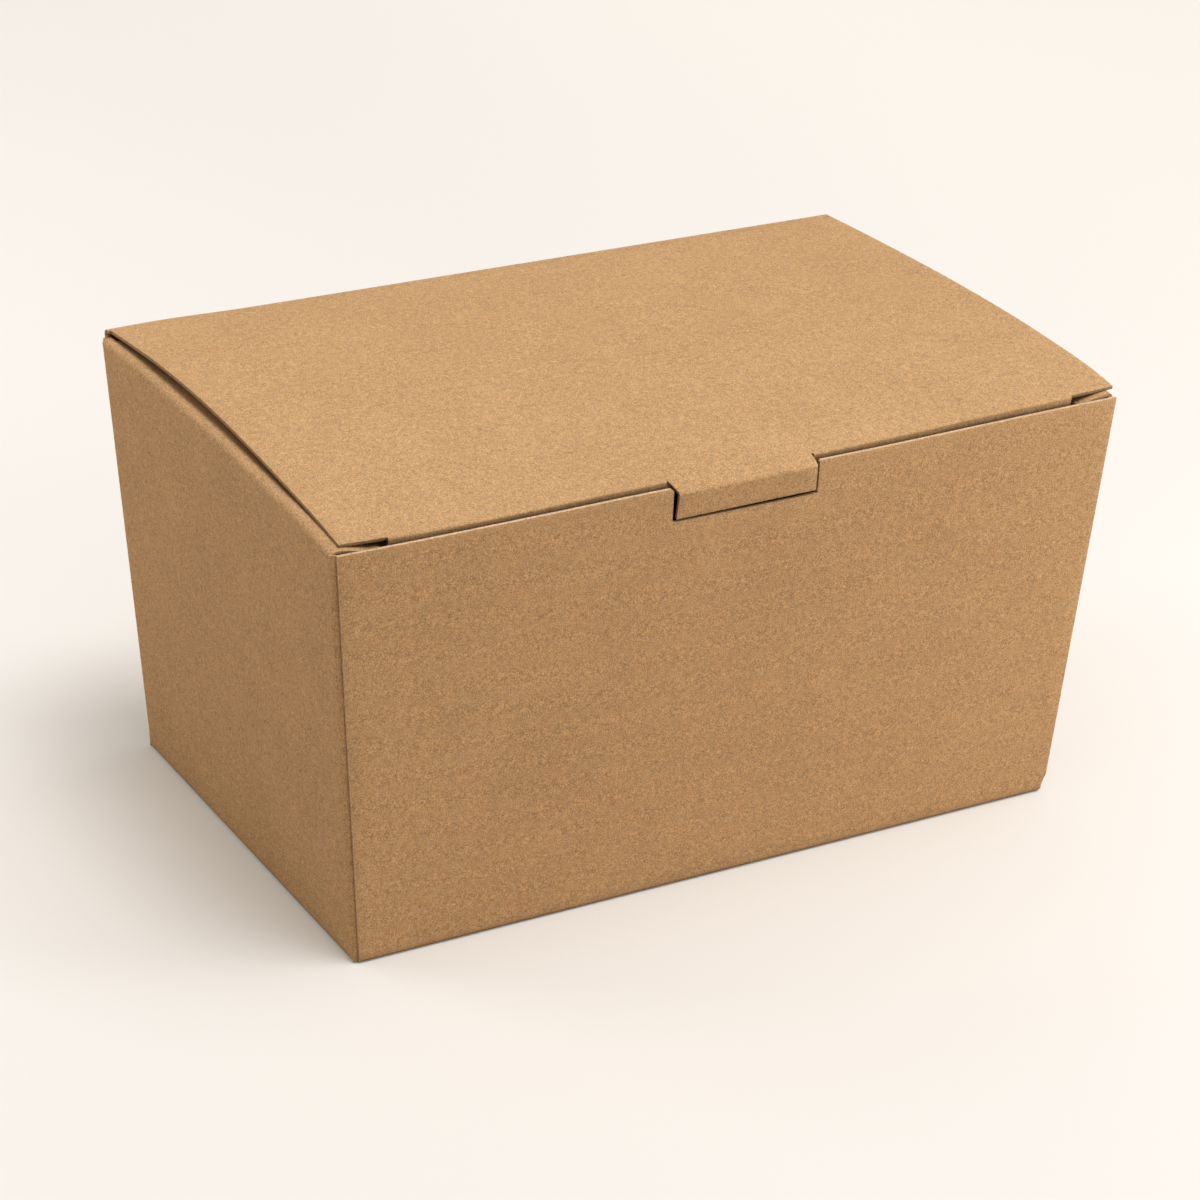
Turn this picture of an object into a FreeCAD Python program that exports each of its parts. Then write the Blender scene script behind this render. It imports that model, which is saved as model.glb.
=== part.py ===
import FreeCAD, Part
import math
import os

import Sketcher

# Take-away carton folded from one sheet of kraft board, closed, in millimetres.
# Front is -Y, the fold of the lid is at the back, the origin is the middle of the base.

document = FreeCAD.newDocument("Carton")

# Driving dimensions

SIZES = [
    # the board and its folds
    ("board", 0.8, "thickness of the board"),
    ("fold_inner", 0.4, "inner radius of the folds of the tray and of the dust flaps"),
    # the tray
    ("base_width", 184.8, "outer width of the base"),
    ("base_depth", 116.2, "outer depth of the base"),
    ("front_height", 103.0, "height of the front wall's cut top edge"),
    ("side_flare", 7.6, "how far each side wall leans out by the front wall's height"),
    ("front_flare", 4.4, "how far the front and the back wall lean out by that height"),
    ("side_front_rise", 0.4, "rise of the side folds' front ends above the front wall's top"),
    ("back_rise", 4.0, "rise of the back wall's top above the front wall's top"),
    ("side_bulge", 1.8, "rise of a side wall's top fold above its chord"),
    # the glued corners
    ("seam_gap", 0.3, "gap between a glued wall's cut end and the rounded corner"),
    ("glue_width", 10.5, "width of a glue flap"),
    ("glue_slant", 5.0, "length lost at each end of a glue flap's free edge"),
    ("glue_foot", 1.6, "height of a glue flap's lower end"),
    ("glue_drop", 6.0, "distance of a glue flap's upper end below the front wall's top"),
    # the dust flaps
    ("dust_length", 45.0, "reach of a dust flap from its fold"),
    ("dust_slope", 4.0, "slope of a dust flap down into the carton, degrees"),
    ("dust_gap", 0.6, "gap from the inside of a wall to the dust flap beside it"),
    ("dust_taper", 9.0, "length lost along each side of a dust flap at its free edge"),
    # the lid
    ("lid_inset", 1.5, "distance from the rim's side to the lid's side"),
    ("lid_gap", 0.4, "gap between the lid's front edge and the dust flaps below it"),
    ("fold_gap", 0.2, "gap between the back wall's top and the lid's end"),
    ("crease_gap", 0.5, "gap from the inside of the front wall to the tuck crease"),
    ("crease_inner", 0.2, "inner radius of the tuck crease and of the tab's bend"),
    ("crown_left", 4.8, "rise of the lid's left edge above its chord"),
    ("crown_right", 3.2, "rise of the lid's right edge above its chord"),
    ("tuck_side_gap", 2.3, "distance at the rim from a glue flap's free side to the tuck flap"),
    ("tuck_length", 18.0, "length of the tuck flap below its crease"),
    ("tuck_lean", 8.0, "lean of the tuck flap towards the inside, degrees"),
    # the tab and its notch
    ("notch_width", 37.0, "width of the notch in the front wall"),
    ("notch_depth", 8.5, "depth of the notch below the front wall's top"),
    ("notch_round", 1.3, "radius of the notch's two upper corners"),
    ("tab_root", 2.6, "distance of the tab's root behind the middle of the tuck crease"),
    ("tab_side_gap", 0.6, "gap between the tab and each side of the notch"),
    ("tab_end_gap", 0.5, "gap between the tab's end and the notch's lower edge"),
    ("tab_proud", 0.8, "how far the tab's bend stands out of the front wall"),
    ("tab_bend_drop", 1.4, "depth of the tab's bend below the front wall's top"),
    ("tab_lean", 6.0, "lean of the tab's hanging end back towards the wall, degrees"),
    ("window_length", 12.0, "height of the opening that the tab leaves in the tuck flap"),
]

# Dimensions that follow from them

FOLLOWING = [
    ("fold_radius", "board + fold_inner", "outer radius of the tray's folds"),
    ("rim_width", "base_width + 2 * side_flare", "outer width at the front wall's height"),
    ("rim_depth", "base_depth + 2 * front_flare", "outer depth at the front wall's height"),
    ("side_front_height", "front_height + side_front_rise", "height of a side fold's front end"),
    ("back_height", "front_height + back_rise", "height of the back wall's top"),
    ("dust_inset", "board + dust_gap", "distance from the outer face of a wall to a dust flap"),
    ("lid_width", "rim_width - 2 * lid_inset", "width of the lid panel"),
    ("crease_radius", "board + crease_inner", "outer radius of the tuck crease and the tab's bend"),
    ("crease_setback", "board + crease_gap", "distance of the crease behind the wall's outer face"),
    ("crease_rise", "side_front_rise + board + lid_gap", "height of the crease above the wall's top"),
    ("tuck_width", "rim_width - 2 * (glue_width + tuck_side_gap)", "width of the tuck flap"),
]

sheet = document.addObject("Spreadsheet::Sheet", "sizes")
cells = [(alias, str(value), note) for alias, value, note in SIZES]
cells += [(alias, "=" + rule, note) for alias, rule, note in FOLLOWING]
for row, (alias, content, note) in enumerate(cells, start=1):
    sheet.set("A%d" % row, alias)
    sheet.setAlias("B%d" % row, alias)
    sheet.set("B%d" % row, content)
    sheet.set("C%d" % row, note)
document.recompute()

# Relations between the sizes, written as expressions for the features

FRONT_LEAN = "atan(sizes.front_flare / sizes.front_height)"
SIDE_LEAN = "atan(sizes.side_flare / sizes.front_height)"
SPARE = "2 * sizes.crease_radius + 2"
BLANK_HEIGHT = "(sizes.back_height + sizes.side_bulge + " + SPARE + ")"
CUT_DEPTH = "1.5 * sizes.board"
SEAM_DEPTH = "1.05 * sizes.board"

# the side fold seen from the side: an arc over its chord
CHORD_RISE = "(sizes.back_height - sizes.side_front_height)"
CHORD = "sqrt(sizes.rim_depth ^ 2 + " + CHORD_RISE + " ^ 2)"
BULGE_RADIUS = "(" + CHORD + " ^ 2 / (8 * sizes.side_bulge) + sizes.side_bulge / 2)"
BULGE_DEPTH = "(" + BULGE_RADIUS + " - sizes.side_bulge)"
BULGE_Y = "(" + BULGE_DEPTH + " * " + CHORD_RISE + " / " + CHORD + ")"
BULGE_Z = (
    "((sizes.back_height + sizes.side_front_height) / 2 - "
    + BULGE_DEPTH + " * sizes.rim_depth / " + CHORD + ")"
)

# the fold between a side wall and its dust flap
FOLD_ANGLE = "(90 deg - " + SIDE_LEAN + " - sizes.dust_slope * 1 deg)"
FOLD_REACH = "(sizes.fold_radius / tan(" + FOLD_ANGLE + " / 2))"

# the lid's fold line
HINGE_Y = (
    "(sizes.base_depth / 2 + sizes.back_height * tan(" + FRONT_LEAN + ") - sizes.board / 2)"
)
HINGE_Z = "(sizes.back_height + sizes.fold_gap + sizes.board / 2)"

# the middle of the tuck crease's bend
CREASE_Y = "(sizes.crease_setback + sizes.crease_radius - sizes.rim_depth / 2)"
CREASE_Z = "(sizes.front_height + sizes.crease_rise - sizes.crease_radius)"
TAB_WIDTH = "(sizes.notch_width - 2 * sizes.tab_side_gap)"

# the root of the tab, on the panel behind the crease
PANEL_SLOPE = (
    "(atan(2 * (sizes.crown_left + sizes.crown_right) / sizes.rim_depth)"
    " + atan((%s - %s) / sizes.rim_depth))" % (HINGE_Z, CREASE_Z)
)
ROOT_Y = "(%s + sizes.tab_root)" % CREASE_Y
ROOT_Z = "(%s + sizes.tab_root * tan(%s))" % (CREASE_Z, PANEL_SLOPE)


# Helpers for sketches

def origin_plane(body, role):
    for feature in body.Origin.OriginFeatures:
        if feature.Role == role:
            return feature
    raise ValueError("no plane " + role)


def add_sketch(body, name, role, shift=None, tilt=None):
    """A sketch on an origin plane, shifted along its normal and tilted about its first axis."""
    sketch = body.newObject("Sketcher::SketchObject", name)
    sketch.AttachmentSupport = [(origin_plane(body, role), "")]
    sketch.MapMode = "FlatFace"
    if tilt:
        turn = FreeCAD.Rotation(FreeCAD.Vector(1, 0, 0), sketch.evalExpression(tilt).Value)
        sketch.AttachmentOffset = FreeCAD.Placement(FreeCAD.Vector(0, 0, 0), turn)
        sketch.setExpression("AttachmentOffset.Rotation.Angle", tilt)
    if shift:
        sketch.setExpression("AttachmentOffset.Base.z", shift)
    return sketch


def size_of(sketch, expression):
    value = sketch.evalExpression(expression)
    return float(getattr(value, "Value", value))


def bind(sketch, constraint, expression):
    index = sketch.addConstraint(constraint)
    sketch.setExpression("Constraints[%d]" % index, expression)


def pin(sketch, geometry, point, across, up):
    """Fix one point of a sketch at two distances from the origin."""
    x = size_of(sketch, across)
    y = size_of(sketch, up)
    bind(sketch, Sketcher.Constraint("DistanceX", -1, 1, geometry, point, x), across)
    bind(sketch, Sketcher.Constraint("DistanceY", -1, 1, geometry, point, y), up)


def add_outline(sketch, corners):
    """A closed outline of straight lines with every corner fixed."""
    places = [FreeCAD.Vector(size_of(sketch, x), size_of(sketch, y), 0) for x, y in corners]
    count = len(places)
    first = sketch.GeometryCount
    for i in range(count):
        sketch.addGeometry(Part.LineSegment(places[i], places[(i + 1) % count]), False)
    for i in range(count):
        after = first + (i + 1) % count
        sketch.addConstraint(Sketcher.Constraint("Coincident", first + i, 2, after, 1))
    for i, (x, y) in enumerate(corners):
        pin(sketch, first + i, 1, x, y)


def add_fixed_arc(sketch, centre, radius, from_across, to_across):
    """The upper arc of a circle between two distances across, from right to left."""
    cx = size_of(sketch, centre[0])
    cy = size_of(sketch, centre[1])
    r = size_of(sketch, radius)
    start = math.acos((size_of(sketch, from_across) - cx) / r)
    end = math.acos((size_of(sketch, to_across) - cx) / r)
    circle = Part.Circle(FreeCAD.Vector(cx, cy, 0), FreeCAD.Vector(0, 0, 1), r)
    arc = sketch.addGeometry(Part.ArcOfCircle(circle, start, end), False)
    pin(sketch, arc, 3, centre[0], centre[1])
    bind(sketch, Sketcher.Constraint("Radius", arc, r), radius)
    for point, across in ((1, from_across), (2, to_across)):
        x = size_of(sketch, across)
        bind(sketch, Sketcher.Constraint("DistanceX", -1, 1, arc, point, x), across)
    return arc


def half_width_at(height):
    return "(sizes.base_width / 2 + (%s) * tan(%s))" % (height, SIDE_LEAN)


def half_depth_at(height):
    return "(sizes.base_depth / 2 + (%s) * tan(%s))" % (height, FRONT_LEAN)


# The carton: base, walls, glue flaps and dust flaps

def add_tray(body):
    """Base and four leaning walls: a tapered block with rounded folds, thinned to one board."""
    height = BLANK_HEIGHT
    wide = half_width_at(height)
    front_view = add_sketch(body, "front_view", "XZ_Plane")
    add_outline(
        front_view,
        [
            ("-1 * sizes.base_width / 2", "0"),
            ("sizes.base_width / 2", "0"),
            (wide, height),
            ("-1 * " + wide, height),
        ],
    )
    block = body.newObject("PartDesign::Pad", "block")
    block.Profile = front_view
    block.SideType = "Symmetric"
    block.setExpression("Length", "2 * " + half_depth_at(height))

    side_view = add_sketch(body, "side_view", "YZ_Plane")
    deep = half_depth_at(height)
    for sign in ("-1", "1"):
        add_outline(
            side_view,
            [
                (sign + " * sizes.base_depth / 2", "0"),
                ("%s * %s" % (sign, deep), height),
                ("%s * (%s + 1)" % (sign, deep), height),
                ("%s * (%s + 1)" % (sign, deep), "0"),
            ],
        )
    lean = body.newObject("PartDesign::Pocket", "front_and_back_lean")
    lean.Profile = side_view
    lean.Type = "ThroughAll"
    lean.SideType = "Symmetric"
    document.recompute()

    heights = [face.CenterOfMass.z for face in lean.Shape.Faces]
    mouth = "Face%d" % (heights.index(max(heights)) + 1)
    walls = body.newObject("PartDesign::Thickness", "walls")
    walls.Base = (lean, [mouth])
    walls.Join = 1
    walls.Reversed = True
    walls.setExpression("Value", "sizes.board")
    document.recompute()

    # the folds round the base and up the four corners
    solid = walls.Shape
    outside = [edge for edge in lean.Shape.Edges if edge.CenterOfMass.z < max(heights) * 0.9]
    centres = [edge.CenterOfMass for edge in outside]
    folded = []
    for i, edge in enumerate(solid.Edges):
        if min(edge.CenterOfMass.distanceToPoint(centre) for centre in centres) < 0.01:
            folded.append("Edge%d" % (i + 1))
    folds = body.newObject("PartDesign::Fillet", "folds")
    folds.Base = (walls, folded)
    folds.setExpression("Radius", "sizes.fold_radius")
    document.recompute()


def add_side_view_cut(body, name, half_depth, drop):
    """Take away what lies above the side folds' arc, less drop, over the given depth."""
    sketch = add_sketch(body, name + "_line", "YZ_Plane")
    centre = (BULGE_Y, "%s - (%s)" % (BULGE_Z, drop))
    minus = "-1 * " + half_depth
    arc = add_fixed_arc(sketch, centre, BULGE_RADIUS, half_depth, minus)
    top = BLANK_HEIGHT + " + 1"
    left = sketch.getPoint(arc, 2)
    right = sketch.getPoint(arc, 1)
    high = size_of(sketch, top)
    corner_left = FreeCAD.Vector(left.x, high, 0)
    corner_right = FreeCAD.Vector(right.x, high, 0)
    lines = [
        sketch.addGeometry(Part.LineSegment(left, corner_left), False),
        sketch.addGeometry(Part.LineSegment(corner_left, corner_right), False),
        sketch.addGeometry(Part.LineSegment(corner_right, right), False),
    ]
    sketch.addConstraint(Sketcher.Constraint("Coincident", arc, 2, lines[0], 1))
    sketch.addConstraint(Sketcher.Constraint("Coincident", lines[0], 2, lines[1], 1))
    sketch.addConstraint(Sketcher.Constraint("Coincident", lines[1], 2, lines[2], 1))
    sketch.addConstraint(Sketcher.Constraint("Coincident", lines[2], 2, arc, 1))
    sketch.addConstraint(Sketcher.Constraint("Vertical", lines[0]))
    sketch.addConstraint(Sketcher.Constraint("Horizontal", lines[1]))
    sketch.addConstraint(Sketcher.Constraint("Vertical", lines[2]))
    bind(sketch, Sketcher.Constraint("DistanceY", -1, 1, lines[1], 1, high), top)
    cut = body.newObject("PartDesign::Pocket", name)
    cut.Profile = sketch
    cut.Type = "ThroughAll"
    cut.SideType = "Symmetric"
    document.recompute()


def panel_half_width(along):
    """Half the width of the front or back wall, up to its seam, at a length up the panel."""
    height = "((%s) * cos(%s))" % (along, FRONT_LEAN)
    return "(%s - sizes.fold_radius)" % half_width_at(height)


def add_front_edge(body):
    """The front wall's cut top edge with the round-cornered notch for the tab."""
    sketch = add_sketch(
        body, "front_edge_line", "XZ_Plane", "sizes.base_depth / 2", FRONT_LEAN
    )
    edge = "(sizes.front_height / cos(%s))" % FRONT_LEAN
    high = "(%s / cos(%s) + 2)" % (BLANK_HEIGHT, FRONT_LEAN)
    end = panel_half_width(edge)
    half = "(sizes.notch_width / 2)"
    shoulder = "(%s + sizes.notch_round)" % half
    low = "(%s - sizes.notch_depth)" % edge
    neck = "(%s - sizes.notch_round)" % edge
    corners = [
        ("-1 * " + end, edge),
        ("-1 * " + shoulder, edge),
        ("-1 * " + half, neck),
        ("-1 * " + half, low),
        (half, low),
        (half, neck),
        (shoulder, edge),
        (end, edge),
        (end, high),
        ("-1 * " + end, high),
    ]
    places = [FreeCAD.Vector(size_of(sketch, x), size_of(sketch, y), 0) for x, y in corners]
    r = size_of(sketch, "sizes.notch_round")
    axis = FreeCAD.Vector(0, 0, 1)
    quarter = math.pi / 2
    arcs = {
        1: (FreeCAD.Vector(places[1].x, places[2].y, 0), 0),
        5: (FreeCAD.Vector(places[6].x, places[5].y, 0), quarter),
    }
    count = len(places)
    ends = []
    for i in range(count):
        if i in arcs:
            middle, start = arcs[i]
            geometry = Part.ArcOfCircle(Part.Circle(middle, axis, r), start, start + quarter)
            ends.append((2, 1))
        else:
            geometry = Part.LineSegment(places[i], places[(i + 1) % count])
            ends.append((1, 2))
        sketch.addGeometry(geometry, False)
    for i in range(count):
        after = (i + 1) % count
        sketch.addConstraint(
            Sketcher.Constraint("Coincident", i, ends[i][1], after, ends[after][0])
        )
    for i, (x, y) in enumerate(corners):
        pin(sketch, i, ends[i][0], x, y)
    for i in arcs:
        bind(sketch, Sketcher.Constraint("Radius", i, r), "sizes.notch_round")
    cut = body.newObject("PartDesign::Pocket", "front_edge")
    cut.Profile = sketch
    cut.setExpression("Length", CUT_DEPTH)
    document.recompute()


def add_seams(body, name, shift, tilt, top, outward):
    """The two narrow gaps at the cut ends of the front or the back wall."""
    sketch = add_sketch(body, name + "_lines", "XZ_Plane", shift, tilt)
    low = "(sizes.fold_radius + sizes.board)"
    high = "(%s / cos(%s) + 4)" % (top, FRONT_LEAN)
    for sign in ("-1", "1"):
        add_outline(
            sketch,
            [
                ("%s * %s" % (sign, panel_half_width(low)), low),
                ("%s * (%s - sizes.seam_gap)" % (sign, panel_half_width(low)), low),
                ("%s * (%s - sizes.seam_gap)" % (sign, panel_half_width(high)), high),
                ("%s * %s" % (sign, panel_half_width(high)), high),
            ],
        )
    cut = body.newObject("PartDesign::Pocket", name)
    cut.Profile = sketch
    cut.setExpression("Length", SEAM_DEPTH)
    cut.Reversed = not outward
    document.recompute()


def add_glue_flaps(body, name, shift, tilt, outward):
    """Two flaps from the side walls, glued behind the front or the back wall."""
    sketch = add_sketch(body, name + "_lines", "XZ_Plane", shift, tilt)
    low = "sizes.glue_foot"
    high = "(sizes.front_height / cos(%s) - sizes.glue_drop)" % FRONT_LEAN
    root = "(%s + sizes.fold_inner + sizes.board / 2)"
    free = "%s * (%s - sizes.board / 2 - sizes.glue_width)"
    for sign in ("-1", "1"):
        low_root = root % panel_half_width(low)
        high_root = root % panel_half_width(high)
        add_outline(
            sketch,
            [
                ("%s * %s" % (sign, low_root), low),
                (free % (sign, low_root), low + " + sizes.glue_slant"),
                (free % (sign, high_root), high + " - sizes.glue_slant"),
                ("%s * %s" % (sign, high_root), high),
            ],
        )
    pad = body.newObject("PartDesign::Pad", name)
    pad.Profile = sketch
    pad.setExpression("Length", "sizes.board")
    pad.Reversed = outward
    pad.Refine = False
    document.recompute()


SIDE_HALF_DEPTH = "(sizes.rim_depth / 2 - sizes.fold_radius)"
FOLD_START = (
    "(%s - %s + sqrt(%s ^ 2 - (%s - %s) ^ 2))"
    % (BULGE_Z, FOLD_REACH, BULGE_RADIUS, SIDE_HALF_DEPTH, BULGE_Y)
)


def add_dust_flap(body, side, right):
    """Fold and flap in section, swept along the arc of one side wall's top."""
    half_depth = SIDE_HALF_DEPTH
    reach = FOLD_REACH
    start_height = FOLD_START
    sign = "1" if right else "-1"
    back = "1" if right else "-1"
    path = add_sketch(
        body, side + "_fold_line", "YZ_Plane", "%s * %s" % (sign, half_width_at(start_height))
    )
    arc = add_fixed_arc(
        path,
        (BULGE_Y, "%s - (%s)" % (BULGE_Z, reach)),
        BULGE_RADIUS,
        half_depth,
        "-1 * " + half_depth,
    )

    # drawn at the back end for the left side, and turned round for the right
    section = add_sketch(body, side + "_section", "XZ_Plane", "%s * %s" % (back, half_depth))
    section.MapReversed = right
    lean = math.radians(size_of(section, SIDE_LEAN))
    slope = math.radians(size_of(section, "sizes.dust_slope"))
    board = size_of(section, "sizes.board")
    outer = size_of(section, "sizes.fold_radius")
    inner = outer - board
    x0 = -size_of(section, half_width_at(start_height))
    z0 = size_of(section, start_height)
    up = FreeCAD.Vector(-math.sin(lean), math.cos(lean), 0)
    inward = FreeCAD.Vector(math.cos(lean), math.sin(lean), 0)
    along = FreeCAD.Vector(math.cos(slope), -math.sin(slope), 0)
    below = FreeCAD.Vector(-math.sin(slope), -math.cos(slope), 0)
    foot = FreeCAD.Vector(x0, z0, 0)
    middle = foot + inward * outer
    length = size_of(section, "sizes.dust_length")
    outer_top = middle - below * outer
    inner_top = middle - below * inner
    axis = FreeCAD.Vector(0, 0, 1)
    first_angle = math.pi / 2 - slope
    last_angle = math.pi + lean
    stub = board
    points = [
        foot - up * stub,
        foot,
        outer_top,
        outer_top + along * length,
        inner_top + along * length,
        inner_top,
        foot + inward * board,
        foot + inward * board - up * stub,
    ]
    outer_stub = section.addGeometry(Part.LineSegment(points[0], points[1]), False)
    outer_arc = section.addGeometry(
        Part.ArcOfCircle(Part.Circle(middle, axis, outer), first_angle, last_angle), False
    )
    top_line = section.addGeometry(Part.LineSegment(points[2], points[3]), False)
    end_line = section.addGeometry(Part.LineSegment(points[3], points[4]), False)
    under_line = section.addGeometry(Part.LineSegment(points[4], points[5]), False)
    inner_arc = section.addGeometry(
        Part.ArcOfCircle(Part.Circle(middle, axis, inner), first_angle, last_angle), False
    )
    inner_stub = section.addGeometry(Part.LineSegment(points[6], points[7]), False)
    foot_line = section.addGeometry(Part.LineSegment(points[7], points[0]), False)
    joins = [
        ("Tangent", outer_stub, 2, outer_arc, 2),
        ("Tangent", outer_arc, 1, top_line, 1),
        ("Coincident", top_line, 2, end_line, 1),
        ("Coincident", end_line, 2, under_line, 1),
        ("Tangent", under_line, 2, inner_arc, 1),
        ("Tangent", inner_arc, 2, inner_stub, 1),
        ("Coincident", inner_stub, 2, foot_line, 1),
        ("Coincident", foot_line, 2, outer_stub, 1),
        ("Coincident", outer_arc, 3, inner_arc, 3),
    ]
    for join in joins:
        section.addConstraint(Sketcher.Constraint(*join))
    section.addConstraint(Sketcher.Constraint("Perpendicular", top_line, end_line))
    section.addConstraint(Sketcher.Constraint("Perpendicular", outer_stub, foot_line))
    section.addConstraint(Sketcher.Constraint("Parallel", top_line, under_line))
    section.addConstraint(Sketcher.Constraint("Parallel", outer_stub, inner_stub))
    bind(section, Sketcher.Constraint("Radius", outer_arc, outer), "sizes.fold_radius")
    bind(section, Sketcher.Constraint("Radius", inner_arc, inner), "sizes.fold_radius - sizes.board")
    bind(section, Sketcher.Constraint("Distance", top_line, length), "sizes.dust_length")
    bind(section, Sketcher.Constraint("Distance", outer_stub, stub), "sizes.board")
    bind(
        section,
        Sketcher.Constraint("Angle", top_line, -slope),
        "-1 * sizes.dust_slope * 1 deg",
    )
    bind(
        section,
        Sketcher.Constraint("Angle", outer_stub, math.pi / 2 + lean),
        "90 deg + " + SIDE_LEAN,
    )
    pin(section, outer_stub, 2, "-1 * " + half_width_at(start_height), start_height)

    flap = body.newObject("PartDesign::AdditivePipe", side + "_dust_flap")
    flap.Profile = section
    flap.Spine = (path, ["Edge1"])
    flap.Mode = "Fixed"
    document.recompute()


def add_dust_edges(body):
    """The flaps' cut outlines: clear of the front and back walls, narrower at the free edge."""
    start_height = FOLD_START
    top = BLANK_HEIGHT
    trim = add_sketch(body, "dust_outline", "XY_Plane", top)
    root = "(%s - sizes.board - 0.2)" % half_width_at(start_height)
    tip = "(%s - sizes.dust_length - 2)" % root
    beside = "(sizes.rim_depth / 2 - sizes.dust_inset)"
    for side in ("-1", "1"):
        for sign in ("-1", "1"):
            edge = "%s * (sizes.rim_depth / 2 - sizes.board - 0.3)" % sign
            add_outline(
                trim,
                [
                    ("%s * %s" % (side, root), edge),
                    ("%s * %s" % (side, root), "%s * %s" % (sign, beside)),
                    ("%s * %s" % (side, tip), "%s * (%s - sizes.dust_taper)" % (sign, beside)),
                    ("%s * %s" % (side, tip), edge),
                ],
            )
    cut = body.newObject("PartDesign::Pocket", "dust_edges")
    cut.Profile = trim
    cut.setExpression("Length", "%s - sizes.front_height + sizes.glue_drop - 0.5" % top)
    document.recompute()


def make_carton():
    body = document.addObject("PartDesign::Body", "carton")
    body.Label = "carton"
    add_tray(body)
    front = "sizes.base_depth / 2"
    back = "-1 * sizes.base_depth / 2"
    front_tilt = FRONT_LEAN
    back_tilt = "-1 * " + FRONT_LEAN
    skin = "sizes.board / cos(%s)" % FRONT_LEAN
    add_glue_flaps(body, "front_glue_flaps", front + " - " + skin, front_tilt, True)
    add_glue_flaps(body, "back_glue_flaps", back + " + " + skin, back_tilt, False)
    side_half_depth = "(sizes.rim_depth / 2 + 2)"
    add_side_view_cut(body, "wall_tops", side_half_depth, "0")
    inner_half_depth = "(sizes.rim_depth / 2 - sizes.fold_radius)"
    add_side_view_cut(body, "side_wall_tops", inner_half_depth, FOLD_REACH)
    add_dust_flap(body, "left", False)
    add_dust_flap(body, "right", True)
    add_dust_edges(body)
    add_front_edge(body)
    add_seams(body, "front_seams", front, front_tilt, "sizes.front_height", True)
    add_seams(body, "back_seams", back, back_tilt, "sizes.back_height", False)
    return body


# The lid: panel, tuck flap and locking tab

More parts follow.
